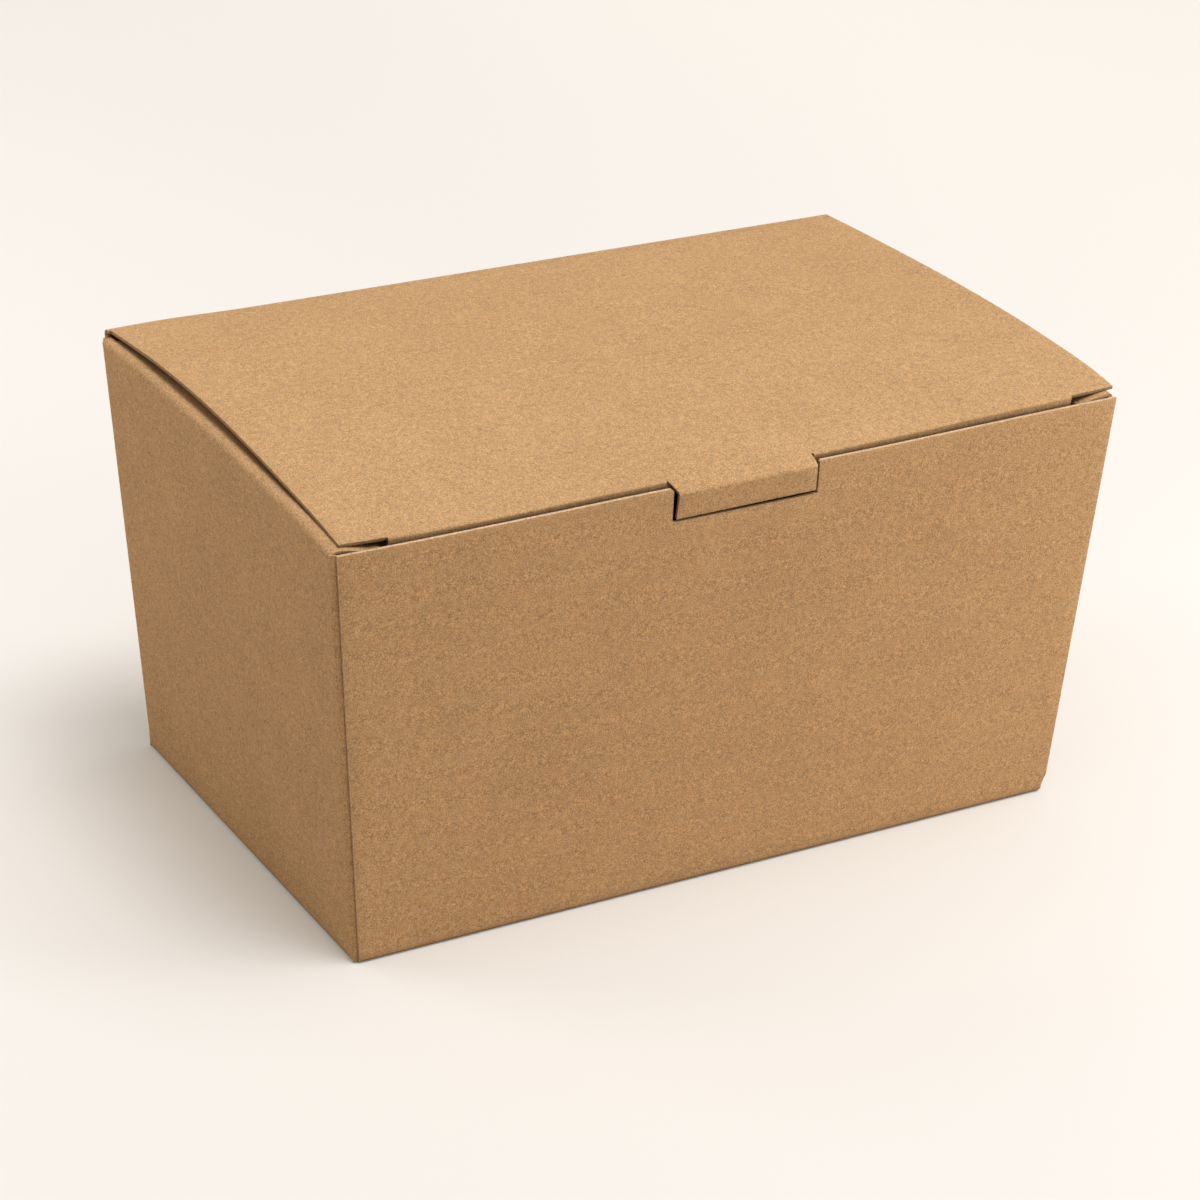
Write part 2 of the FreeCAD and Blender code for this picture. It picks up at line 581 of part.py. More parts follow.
def add_lid_section(body, name, crown, shift):
    """The lid and its tuck flap seen from the side, at one end of the panel."""
    sketch = add_sketch(body, name, "YZ_Plane", shift)
    board = size_of(sketch, "sizes.board")
    outer = size_of(sketch, "sizes.crease_radius")
    length = size_of(sketch, "sizes.tuck_length")
    lean = math.radians(size_of(sketch, "sizes.tuck_lean"))
    hinge = FreeCAD.Vector(size_of(sketch, HINGE_Y), size_of(sketch, HINGE_Z), 0)
    crease = FreeCAD.Vector(size_of(sketch, CREASE_Y), size_of(sketch, CREASE_Z), 0)
    chord = (
        "sqrt((%s - %s) ^ 2 + (%s - %s) ^ 2)" % (HINGE_Y, CREASE_Y, HINGE_Z, CREASE_Z)
    )
    radius = "(%s ^ 2 / (8 * %s) + %s / 2)" % (chord, crown, crown)
    big = size_of(sketch, radius)
    # the crown's centre lies one crown radius from the outside of the knuckle and of the bend
    across = hinge - crease
    span = across.Length
    from_hinge = big - board / 2
    from_crease = big - outer
    foot = (span ** 2 + from_crease ** 2 - from_hinge ** 2) / (2 * span)
    along = FreeCAD.Vector(across).normalize()
    normal = FreeCAD.Vector(-along.y, along.x, 0)
    centre = crease + along * foot - normal * math.sqrt(from_crease ** 2 - foot ** 2)
    to_hinge = (hinge - centre).normalize()
    to_crease = (crease - centre).normalize()
    hinge_angle = math.atan2(to_hinge.y, to_hinge.x)
    crease_angle = math.atan2(to_crease.y, to_crease.x)
    axis = FreeCAD.Vector(0, 0, 1)
    down = FreeCAD.Vector(math.sin(lean), -math.cos(lean), 0)
    out = FreeCAD.Vector(-math.cos(lean), -math.sin(lean), 0)
    outer_crown = sketch.addGeometry(
        Part.ArcOfCircle(Part.Circle(centre, axis, big), hinge_angle, crease_angle), False
    )
    inner_crown = sketch.addGeometry(
        Part.ArcOfCircle(Part.Circle(centre, axis, big - board), hinge_angle, crease_angle), False
    )
    knuckle = sketch.addGeometry(
        Part.ArcOfCircle(
            Part.Circle(hinge, axis, board / 2), hinge_angle - math.pi, hinge_angle
        ),
        False,
    )
    outer_bend = sketch.addGeometry(
        Part.ArcOfCircle(Part.Circle(crease, axis, outer), crease_angle, math.pi + lean), False
    )
    inner_bend = sketch.addGeometry(
        Part.ArcOfCircle(
            Part.Circle(crease, axis, outer - board), crease_angle, math.pi + lean
        ),
        False,
    )
    outer_start = crease + out * outer
    inner_start = crease + out * (outer - board)
    outer_line = sketch.addGeometry(
        Part.LineSegment(outer_start, outer_start + down * length), False
    )
    end_line = sketch.addGeometry(
        Part.LineSegment(outer_start + down * length, inner_start + down * length), False
    )
    inner_line = sketch.addGeometry(
        Part.LineSegment(inner_start + down * length, inner_start), False
    )
    joins = [
        ("Coincident", outer_crown, 3, inner_crown, 3),
        ("Coincident", outer_bend, 3, inner_bend, 3),
        ("Tangent", outer_crown, 1, knuckle, 2),
        ("Tangent", inner_crown, 1, knuckle, 1),
        ("Tangent", outer_crown, 2, outer_bend, 1),
        ("Tangent", inner_crown, 2, inner_bend, 1),
        ("Tangent", outer_bend, 2, outer_line, 1),
        ("Tangent", inner_line, 2, inner_bend, 2),
        ("Coincident", outer_line, 2, end_line, 1),
        ("Coincident", end_line, 2, inner_line, 1),
    ]
    for join in joins:
        sketch.addConstraint(Sketcher.Constraint(*join))
    sketch.addConstraint(Sketcher.Constraint("Perpendicular", outer_line, end_line))
    sketch.addConstraint(Sketcher.Constraint("Parallel", outer_line, inner_line))
    bind(sketch, Sketcher.Constraint("Radius", outer_crown, big), radius)
    bind(sketch, Sketcher.Constraint("Radius", knuckle, board / 2), "sizes.board / 2")
    bind(sketch, Sketcher.Constraint("Radius", outer_bend, outer), "sizes.crease_radius")
    bind(sketch, Sketcher.Constraint("Distance", outer_line, length), "sizes.tuck_length")
    bind(
        sketch,
        Sketcher.Constraint("Angle", outer_line, lean - math.pi / 2),
        "sizes.tuck_lean * 1 deg - 90 deg",
    )
    pin(sketch, knuckle, 3, HINGE_Y, HINGE_Z)
    pin(sketch, outer_bend, 3, CREASE_Y, CREASE_Z)
    return sketch


def below_panel(cut_line, depth):
    """Outline of what lies in front of a cut line and under the panel, down to a depth."""
    front = "(%s - 4 * sizes.crease_radius)" % CREASE_Y
    behind = "(%s + sizes.crease_radius + sizes.tuck_length * sin(sizes.tuck_lean * 1 deg))" % CREASE_Y
    top = "(%s + 4 * sizes.crease_radius)" % CREASE_Z
    under = "(%s - sizes.board / 4)" % CREASE_Z
    low = "(%s - %s)" % (CREASE_Z, depth)
    return [
        (front, top),
        (cut_line, top),
        (cut_line, under),
        (behind, under),
        (behind, low),
        (front, low),
    ]


def add_tab(body):
    """The tab seen from the side: from its root over the notch, then bent down into it."""
    sketch = add_sketch(body, "tab_section", "YZ_Plane")
    # the middle of the tab's bend, one radius inside its outermost point
    bend_y = "(sizes.crease_radius - sizes.tab_proud - sizes.rim_depth / 2)"
    bend_z = "(sizes.front_height - sizes.tab_bend_drop - sizes.crease_radius)"
    across = "(%s - %s)" % (ROOT_Y, bend_y)
    fall = "(%s - %s)" % (ROOT_Z, bend_z)
    slope = "atan(%s / %s)" % (fall, across)
    low = "(sizes.front_height - sizes.notch_depth + sizes.tab_end_gap)"
    outer = "sizes.crease_radius"
    inner = "(sizes.crease_radius - sizes.board)"
    lean = "(sizes.tab_lean * 1 deg)"
    hang = "((%s - %s) / cos(%s))" % (bend_z, low, lean)
    root = "(sizes.board / 2)"
    root_rise = "(%s * tan(%s))" % (root, PANEL_SLOPE)

    def on_neck(y, z, radius):
        return ("(%s - %s * sin(%s))" % (y, radius, slope), "(%s + %s * cos(%s))" % (z, radius, slope))

    def on_end(radius, along):
        return (
            "(%s - %s * cos(%s) + %s * sin(%s))" % (bend_y, radius, lean, along, lean),
            "(%s - %s * sin(%s) - %s * cos(%s))" % (bend_z, radius, lean, along, lean),
        )

    corners = [
        on_neck(ROOT_Y, ROOT_Z, outer),
        on_neck(bend_y, bend_z, outer),
        on_end(outer, "0"),
        on_end(outer, hang),
        on_end(inner, hang),
        on_end(inner, "0"),
        on_neck(bend_y, bend_z, inner),
        on_neck(ROOT_Y, ROOT_Z, inner),
        ("(%s + %s)" % (ROOT_Y, root), "(%s + %s + %s)" % (ROOT_Z, inner, root_rise)),
        ("(%s + %s)" % (ROOT_Y, root), "(%s + %s + %s)" % (ROOT_Z, outer, root_rise)),
    ]
    places = [FreeCAD.Vector(size_of(sketch, y), size_of(sketch, z), 0) for y, z in corners]
    middle = FreeCAD.Vector(size_of(sketch, bend_y), size_of(sketch, bend_z), 0)
    start = math.pi / 2 + math.radians(size_of(sketch, slope))
    end = math.pi + math.radians(size_of(sketch, lean))
    axis = FreeCAD.Vector(0, 0, 1)
    bends = {1: (size_of(sketch, outer), (1, 2)), 5: (size_of(sketch, inner), (2, 1))}
    ends = []
    for i in range(len(corners)):
        if i in bends:
            radius, order = bends[i]
            geometry = Part.ArcOfCircle(Part.Circle(middle, axis, radius), start, end)
            ends.append(order)
        else:
            geometry = Part.LineSegment(places[i], places[(i + 1) % len(corners)])
            ends.append((1, 2))
        sketch.addGeometry(geometry, False)
    for i in range(len(corners)):
        after = (i + 1) % len(corners)
        sketch.addConstraint(
            Sketcher.Constraint("Coincident", i, ends[i][1], after, ends[after][0])
        )
    for i, (y, z) in enumerate(corners):
        pin(sketch, i, ends[i][0], y, z)
    bind(sketch, Sketcher.Constraint("Radius", 1, bends[1][0]), outer)
    bind(sketch, Sketcher.Constraint("Radius", 5, bends[5][0]), inner)
    tab = body.newObject("PartDesign::Pad", "tab")
    tab.Profile = sketch
    tab.SideType = "Symmetric"
    tab.setExpression("Length", TAB_WIDTH)
    document.recompute()


def make_lid():
    body = document.addObject("PartDesign::Body", "lid")
    body.Label = "lid"
    left = add_lid_section(body, "left_section", "sizes.crown_left", "-1 * sizes.lid_width / 2")
    right = add_lid_section(body, "right_section", "sizes.crown_right", "sizes.lid_width / 2")
    panel = body.newObject("PartDesign::AdditiveLoft", "panel_and_tuck")
    panel.Profile = left
    panel.Sections = [right]
    panel.Ruled = True
    document.recompute()

    # the panel's ears, without the tuck flap below them
    ear_shape = add_sketch(body, "ear_outline", "YZ_Plane", "sizes.tuck_width / 2")
    add_outline(ear_shape, below_panel(CREASE_Y, "(sizes.tuck_length + 3)"))
    ear = body.newObject("PartDesign::Pocket", "right_ear")
    ear.Profile = ear_shape
    ear.Reversed = True
    ear.setExpression("Length", "sizes.lid_width / 2 - sizes.tuck_width / 2 + 1")
    document.recompute()
    ears = body.newObject("PartDesign::Mirrored", "left_ear")
    ears.Originals = [ear]
    ears.MirrorPlane = (origin_plane(body, "YZ_Plane"), [""])
    body.Tip = ears
    document.recompute()

    # the opening that the tab leaves in the tuck flap
    window_shape = add_sketch(body, "window_outline", "YZ_Plane")
    add_outline(window_shape, below_panel(ROOT_Y, "sizes.window_length"))
    window = body.newObject("PartDesign::Pocket", "tuck_window")
    window.Profile = window_shape
    window.SideType = "Symmetric"
    window.setExpression("Length", TAB_WIDTH + " + 2 * sizes.seam_gap")
    document.recompute()
    add_tab(body)
    return body


carton = make_carton()
lid = make_lid()
document.recompute()

# Every feature and both solids are sound before anything is written

for thing in document.Objects:
    if "Invalid" in thing.State or "Error" in thing.State:
        raise RuntimeError("%s: %s" % (thing.Name, thing.getStatusString()))
    if thing.isDerivedFrom("PartDesign::Feature"):
        if thing.Shape.isNull() or not thing.Shape.isValid():
            raise RuntimeError("%s has no valid shape" % thing.Name)
for body in (carton, lid):
    if body.Shape.isNull() or not body.Shape.isValid():
        raise RuntimeError("%s has no valid shape" % body.Label)
    if len(body.Shape.Solids) != 1:
        raise RuntimeError("%s has %d solids" % (body.Label, len(body.Shape.Solids)))

os.makedirs("parts", exist_ok=True)
for body in (carton, lid):
    body.Shape.exportStep("parts/" + body.Label + ".step")
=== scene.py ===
import math

import bpy
from bpy.props import FloatProperty, IntProperty, PointerProperty
from bpy.types import Operator, Panel, PropertyGroup
from mathutils import Matrix, Vector


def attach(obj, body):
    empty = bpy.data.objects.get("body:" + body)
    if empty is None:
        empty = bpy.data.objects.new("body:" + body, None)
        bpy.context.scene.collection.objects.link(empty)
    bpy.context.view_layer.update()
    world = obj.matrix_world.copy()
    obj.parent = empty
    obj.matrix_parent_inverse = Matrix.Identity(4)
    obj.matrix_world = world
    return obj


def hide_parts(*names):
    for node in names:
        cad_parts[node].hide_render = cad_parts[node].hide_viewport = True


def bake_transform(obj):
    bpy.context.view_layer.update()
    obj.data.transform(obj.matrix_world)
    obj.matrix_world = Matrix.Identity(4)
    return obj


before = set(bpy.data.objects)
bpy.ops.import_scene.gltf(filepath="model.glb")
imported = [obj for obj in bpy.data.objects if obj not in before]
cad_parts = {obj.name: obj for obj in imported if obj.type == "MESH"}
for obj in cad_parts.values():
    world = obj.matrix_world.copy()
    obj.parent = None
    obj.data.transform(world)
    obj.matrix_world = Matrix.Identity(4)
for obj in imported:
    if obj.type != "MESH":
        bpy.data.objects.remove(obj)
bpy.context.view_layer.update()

bl_info = {
    "name": "Kraft carton",
    "version": (1, 0, 0),
    "blender": (4, 5, 0),
    "location": "View3D > Sidebar > Carton",
    "description": "Builds the folded kraft carton, its lid and the studio around the packed parts",
    "category": "Object",
}


# Settings

class CartonSettings(PropertyGroup):
    board: FloatProperty(name="Board", description="Thickness of the board", default=0.00078,
                         min=0.0003, max=0.002, unit="LENGTH")
    fold: FloatProperty(name="Fold radius", description="Outer radius of the tray's folds",
                        default=0.0013, min=0.0008, max=0.004, unit="LENGTH")
    dust_slope: FloatProperty(name="Dust flap slope", description="Slope of the dust flaps into the carton",
                              default=math.radians(4.0), min=0.0, max=0.5, subtype="ANGLE")
    bow: FloatProperty(name="Wall bow", description="How far the middle of a wall bows outwards",
                       default=0.0004, min=-0.003, max=0.003, unit="LENGTH")


class LidSettings(PropertyGroup):
    crease: FloatProperty(name="Crease radius", description="Outer radius of the lid's front crease",
                          default=0.0005, min=0.0002, max=0.004, unit="LENGTH")
    tab_bend: FloatProperty(name="Tab bend", description="Outer radius of the tab's bend",
                            default=0.0009, min=0.0003, max=0.003, unit="LENGTH")
    tuck_lean: FloatProperty(name="Tuck lean", description="Lean of the tuck flap into the carton",
                             default=math.radians(8.0), min=0.0, max=0.5, subtype="ANGLE")


class PaperSettings(PropertyGroup):
    fibre: FloatProperty(name="Fibre", description="Strength of the fine fibre pattern",
                         default=1.0, min=0.0, max=3.0)
    seed: IntProperty(name="Seed", description="Offset of the paper's patterns", default=3, min=0, max=99)


# Board geometry, in millimetres with the origin in the middle of the base

HALF_WIDTH = 92.4
HALF_DEPTH = 58.1
SIDE_SLOPE = 7.6 / 103.0
FRONT_SLOPE = 4.4 / 103.0
NOTCH_LEFT = -18.5
NOTCH_RIGHT = 18.8
NOTCH_LOW = 94.45
CREASE_Y = -60.7
STRIP_Y = 60.4
NOTCH_OFF = 0.45
TAB_LEFT = -18.0
TAB_RIGHT = 17.15
WINDOW_LEFT = -19.75
WINDOW_RIGHT = 17.7
TUCK_LEFT = -87.0
TUCK_RIGHT = 86.8
LID_LEFT = -98.35
LID_RIGHT = 98.5

# Edges read from the photograph: distance along the edge and height

WALL_TOP = (
    (-99.0, 102.42), (-74.0, 102.22), (-46.0, 102.38), (-26.0, 102.6), (0.0, 102.5), (22.0, 102.48),
    (38.0, 102.6), (60.0, 102.98), (87.0, 103.3), (99.5, 103.2),
)
CREASE_TOP = (
    (-98.0, 103.9), (-86.0, 103.42), (-74.0, 103.2), (-52.0, 103.3), (-35.0, 103.6), (-19.0, 103.72),
    (0.0, 103.5), (18.0, 103.3), (31.0, 103.57), (47.0, 103.9), (60.0, 104.33), (88.0, 104.9), (99.8, 105.25),
)
LEFT_EDGE = (
    (-60.2, 103.9), (-54.1, 104.95), (-44.0, 106.3), (-33.3, 107.47), (-22.5, 108.55), (-11.2, 109.5),
    (0.7, 110.27), (13.2, 110.65), (20.0, 110.7), (33.7, 110.39), (48.6, 109.49), (61.5, 108.4),
)
RIGHT_EDGE = (
    (-60.2, 105.3), (-50.8, 106.75), (-36.0, 107.85), (-20.5, 108.6), (-4.2, 108.92), (12.6, 108.92),
    (30.1, 108.63), (48.3, 108.15), (61.5, 107.65),
)
FOLD_TOP = (
    (-62.0, 102.95), (-59.0, 103.45), (-55.6, 104.1), (-44.8, 105.2), (-33.6, 105.9), (-22.2, 106.55), (-10.4, 107.15),
    (2.0, 107.6), (21.5, 107.85), (35.0, 107.85), (48.7, 107.55), (62.0, 106.95),
)


def spread(low, high, count):
    return [low + (high - low) * i / count for i in range(count + 1)]


def ease(low, high, value):
    t = min(1.0, max(0.0, (value - low) / (high - low)))
    return t * t * (3.0 - 2.0 * t)


def along(points, place):
    """Height of a smooth line through the points of a table, at a distance along it."""
    last = len(points) - 1
    if place <= points[0][0]:
        return points[0][1]
    if place >= points[last][0]:
        return points[last][1]
    i = max(k for k in range(last) if points[k][0] <= place)

    def tilt(k):
        if k in (0, last):
            near = 1 if k == 0 else last - 1
            return (points[near][1] - points[k][1]) / (points[near][0] - points[k][0])
        return (points[k + 1][1] - points[k - 1][1]) / (points[k + 1][0] - points[k - 1][0])

    span = points[i + 1][0] - points[i][0]
    t = (place - points[i][0]) / span
    return (
        points[i][1] * (1 + 2 * t) * (1 - t) ** 2 + tilt(i) * span * t * (1 - t) ** 2
        + points[i + 1][1] * t ** 2 * (3 - 2 * t) + tilt(i + 1) * span * t ** 2 * (t - 1)
    )


class Sheet:
    """Outer faces of a folded sheet, gathered patch by patch, then thickened to board."""

    def __init__(self):
        self.points = []
        self.faces = []
        self.flat = []
        self.found = {}

    def vertex(self, point):
        key = tuple(round(c * 200) for c in point)
        if key not in self.found:
            self.found[key] = len(self.points)
            self.points.append(Vector(point))
        return self.found[key]

    def patch(self, columns, rows, place, keep=None, turn=False, lay=None):
        """One patch: place(column, row) is a point, keep(i, j) tells which faces exist."""
        grid = [[self.vertex(place(c, r)) for r in rows] for c in columns]
        for i in range(len(columns) - 1):
            for j in range(len(rows) - 1):
                if keep and not keep(i, j):
                    continue
                ring = [grid[i][j], grid[i + 1][j], grid[i + 1][j + 1], grid[i][j + 1]]
                spots = [(i, j), (i + 1, j), (i + 1, j + 1), (i, j + 1)]
                if turn:
                    ring.reverse()
                    spots.reverse()
                kept = []
                uvs = []
                for vertex, (a, b) in zip(ring, spots):
                    if vertex not in kept:
                        kept.append(vertex)
                        uvs.append(lay(columns[a], rows[b]) if lay else (0.0, 0.0))
                if len(kept) > 2:
                    self.faces.append(kept)
                    self.flat.append(uvs)

    def build(self, name, thickness, materials):
        mesh = bpy.data.meshes.new(name)
        used = sorted({v for face in self.faces for v in face})
        order = {v: i for i, v in enumerate(used)}
        faces = [[order[v] for v in face] for face in self.faces]
        mesh.from_pydata([self.points[v] * 0.001 for v in used], [], faces)
        layer = mesh.uv_layers.new(name="blank")
        loop = 0
        for uvs in self.flat:
            for u, v in uvs:
                layer.data[loop].uv = (u * 0.001, v * 0.001)
                loop += 1
        for material in materials:
            mesh.materials.append(material)
        mesh.update()
        for polygon in mesh.polygons:
            polygon.use_smooth = True
        piece = bpy.data.objects.new(name, mesh)
        bpy.context.scene.collection.objects.link(piece)
        thick = piece.modifiers.new("board", "SOLIDIFY")
        thick.thickness = thickness
        thick.offset = -1.0
        thick.use_even_offset = False
        thick.use_quality_normals = True
        thick.use_rim = True
        thick.material_offset_rim = 1
        soft = piece.modifiers.new("cut_edges", "BEVEL")
        soft.width = 0.00012
        soft.segments = 2
        soft.limit_method = "ANGLE"
        soft.angle_limit = math.radians(50)
        soft.harden_normals = False
        graph = bpy.context.evaluated_depsgraph_get()
        done = bpy.data.meshes.new_from_object(piece.evaluated_get(graph))
        done.name = name
        piece.modifiers.clear()
        piece.data = done
        bpy.data.meshes.remove(mesh)
        return piece


def fold_foot(half, slope, radius, steps):
    """Outer line from the base's plane round the bottom fold: (outward, height) pairs."""
    lean = math.atan(slope)
    centre = half - radius * (1.0 - math.sin(lean)) / math.cos(lean)
    line = []
    for angle in spread(-math.pi / 2, -lean, steps):
        line.append((centre + radius * math.cos(angle), radius + radius * math.sin(angle)))
    return line


def side_edge(height):
    return HALF_WIDTH + SIDE_SLOPE * height


def front_edge(height):
    return HALF_DEPTH + FRONT_SLOPE * height


def notched_top(x):
    """Height of the front wall's cut top edge, with the notch's rounded corners."""
    past = max(NOTCH_LEFT - x, x - NOTCH_RIGHT)
    radius = 1.1 if x < 0.0 else 0.45
    if past < 0.0:
        return NOTCH_LOW
    top = along(WALL_TOP, x)
    if past < radius:
        return top - radius + math.sqrt(radius ** 2 - (radius - past) ** 2)
    return top


# The carton

def add_upright(sheet, sign, top, bow, board, radius, foot_columns):
    """Front wall (sign -1) or back wall (sign 1), with its bottom fold."""
    foot = fold_foot(HALF_DEPTH, FRONT_SLOPE, radius, 6)
    first = foot[-1][1]
    bottom_half = fold_foot(HALF_WIDTH, SIDE_SLOPE, radius, 1)[0][0]
    level = NOTCH_LOW if sign < 0 else 100.0
    heights = spread(first, level, 26)
    rows = [("foot", i) for i in range(len(foot) - 1)]
    rows += [("wall", z) for z in heights]
    rows += [("top", f) for f in spread(0.0, 1.0, 8)[1:]]

    def reach(z, end):
        blend = ease(0.5, 5.0, z)
        inset = (1.3 if end < 0 else 0.1) if sign < 0 else 0.9
        return bottom_half * (1.0 - blend) + (side_edge(z) - inset) * blend

    def place(x, row):
        kind, value = row
        if kind == "foot":
            outward, z = foot[value]
        else:
            z = value if kind == "wall" else level + (top(x) - level) * value
            outward = front_edge(z)
            share = abs(x) / bottom_half
            swell = max(0.0, 1.0 - share ** 2) * math.sin(math.pi * min(1.0, z / 112.0))
            outward += bow * swell
        near = abs(x)
        off = NOTCH_OFF * ease(2.0, 30.0, z) if sign < 0 else 0.0
        if near > 22.0:
            wide = 22.0 + (near - 22.0) * (reach(z, x) - 22.0) / (bottom_half - 22.0)
            off *= (bottom_half - near) / (bottom_half - 22.0)
            x = math.copysign(wide, x)
        return (x + off, sign * outward, z)

    notch_cells = range(0)
    if sign < 0:
        low = next(i for i, x in enumerate(foot_columns) if abs(x - NOTCH_LEFT) < 1e-6)
        high = next(i for i, x in enumerate(foot_columns) if abs(x - NOTCH_RIGHT) < 1e-6)
        notch_cells = range(low, high)
    first_top = len(foot) - 1 + len(heights) - 1

    def keep(i, j):
        return not (i in notch_cells and j >= first_top)

    def lay(x, row):
        kind, value = row
        if kind == "foot":
            return (x, sign * (58.0 + value * 0.3))
        z = value if kind == "wall" else level + (top(x) - level) * value
        return (x, sign * (60.0 + z))

    sheet.patch(foot_columns, rows, place, keep, turn=sign > 0, lay=lay)


def add_side(sheet, sign, board, radius, slope, depth_columns):
    """Side wall with its bottom fold, its corner bends, glue flaps, top fold and dust flap."""
    foot = fold_foot(HALF_WIDTH, SIDE_SLOPE, radius, 6)
    first = foot[-1][1]
    bottom_half = fold_foot(HALF_DEPTH, FRONT_SLOPE, radius, 1)[0][0]
    bend = 1.1
    lean = math.atan(SIDE_SLOPE)
    fold = 1.9
    determinant = math.cos(lean) * math.cos(slope) - math.sin(lean) * math.sin(slope)
    back_out = -fold * (math.cos(slope) + math.sin(lean)) / determinant
    back_up = -fold * (math.cos(lean) + math.sin(slope)) / determinant
    rise = back_up - fold * math.sin(lean)

    def inner_depth(z):
        return front_edge(z) - board - 0.06

    def wall_half(z):
        blend = ease(0.5, 5.0, z)
        return bottom_half * (1.0 - blend) + (inner_depth(z) - bend) * blend

    columns = [("glue", -1, t) for t in spread(1.0, 0.0, 4)[:-1]]
    columns += [("bend", -1, t) for t in spread(1.0, 0.0, 6)[:-1]]
    columns += [("wall", 0, t) for t in depth_columns]
    columns += [("bend", 1, t) for t in spread(0.0, 1.0, 6)[1:]]
    columns += [("glue", 1, t) for t in spread(0.0, 1.0, 4)[1:]]
    first_wall = 9
    last_wall = first_wall + len(depth_columns) - 1
    rows = [("foot", i) for i in range(len(foot) - 1)]
    rows += [("wall", f) for f in spread(0.0, 1.0, 30)]
    rows += [("fold", f) for f in spread(0.0, 1.0, 10)[1:]]
    shoulder = 9.8 if sign < 0 else 7.2
    dust = spread(0.0, shoulder, 5)[1:] + spread(shoulder, shoulder + 1.6, 5)[1:] + spread(shoulder + 1.6, 43.0, 10)[1:]
    rows += [("dust", d / 43.0) for d in dust]
    wall_rows = (len(foot) - 1, len(foot) - 1 + 30)

    def fold_top(y):
        return along(FOLD_TOP, y) + (1.3 * math.exp(-(y + 62.0) / 15.0) if sign > 0 else 0.0)

    def wall_top(y):
        return fold_top(y) + rise

    def place(column, row):
        kind, end, t = column
        zone, value = row
        if kind == "wall":
            reach = depth_columns[-1]
            share = t / reach
            if zone == "foot":
                outward, z = foot[value]
                return (sign * outward, share * wall_half(z), z)
            top = wall_top(share * 60.6)
            if zone == "wall":
                z = first + (top - first) * value
                out = side_edge(z) + 0.25 * (1.0 - share ** 2) * math.sin(math.pi * z / 110.0)
                return (sign * out, share * wall_half(z), z)
            y = share * wall_half(top)
            corner = fold_top(share * 60.6)
            centre = (side_edge(corner) + back_out, corner + back_up)
            # the flap's ends reach further into the corners than the wall's flat part
            past = (1.15 if share > 0 else 0.85) * ease(0.9, 1.0, abs(share))
            if zone == "fold":
                angle = -lean + (math.pi / 2 + slope + lean) * value
                y += math.copysign(past * math.sin(math.pi / 2 * min(1.0, 1.5 * value)), share)
                return (
                    sign * (centre[0] + fold * math.cos(angle)), y,
                    centre[1] + fold * math.sin(angle),
                )
            inward = 43.0 * value
            past_shoulder = max(0.0, inward - shoulder)
            taper = 3.0 * ease(0.0, 1.6, past_shoulder) + 6.5 * past_shoulder / (43.0 - shoulder)
            if share > 0.0:
                taper = 9.5 * value
            droop = 1.1 * ease(0.0, 9.0, inward)
            edge = wall_half(top) + past
            y = share * (edge - taper)
            return (
                sign * (centre[0] - fold * math.sin(slope) - inward * math.cos(slope)), y,
                centre[1] + fold * math.cos(slope) - inward * math.sin(slope) - droop,
            )
        height = along(WALL_TOP, sign * 99.0) if end < 0 else 106.3
        meeting = wall_top(end * 60.6)
        if kind == "bend":
            top = meeting + (height - meeting) * ease(0.0, 0.55, t) if end < 0 else meeting
        else:
            top = height - 5.0 * t - 0.4
        if kind == "bend" and end > 0 and zone == "fold":
            # the corner's top: the side bend dies out over the fold
            rim_x, rim_y, rim_z = place(("wall", 0, depth_columns[-1]), row)
            left = 1.0 - value
            angle = math.pi / 2 * t
            reach_y = inner_depth(meeting)
            shrink = math.cos(math.pi / 2 * value)
            return (
                rim_x - sign * bend * (1.0 - math.cos(angle)) * shrink,
                rim_y + (reach_y - rim_y) * math.sin(angle) * min(1.0, 2.5 * left),
                rim_z,
            )
        if zone == "foot":
            z = 0.2 + (first - 0.2) * value / len(foot)
        elif zone == "wall":
            z = first + (top - first) * value
        else:
            z = top
        if kind == "bend":
            angle = math.pi / 2 * t
            middle = wall_half(z)
            depth = inner_depth(z) - middle
            return (
                sign * (side_edge(z) - bend + bend * math.cos(angle)),
                end * (middle + depth * math.sin(angle)),
                z,
            )
        return (sign * (side_edge(z) - bend - 10.0 * t), end * inner_depth(z), z)

    def keep(i, j):
        if first_wall <= i < last_wall:
            return True
        if last_wall <= i < last_wall + 6:
            return j < wall_rows[1] + 10
        return j < wall_rows[1]

    def lay(column, row):
        kind, end, t = column
        zone, value = row
        across = {"wall": t, "bend": end * (58.0 + t * 2.0), "glue": end * (61.0 + t * 10.0)}[kind]
        up = {
            "foot": 92.0, "wall": 94.0, "fold": 199.0, "dust": 202.0,
        }[zone]
        scale = {"foot": 0.3, "wall": 104.0, "fold": 3.0, "dust": 43.0}[zone]
        return (sign * (up + value * scale), across)

    sheet.patch(columns, rows, place, keep, turn=sign < 0, lay=lay)


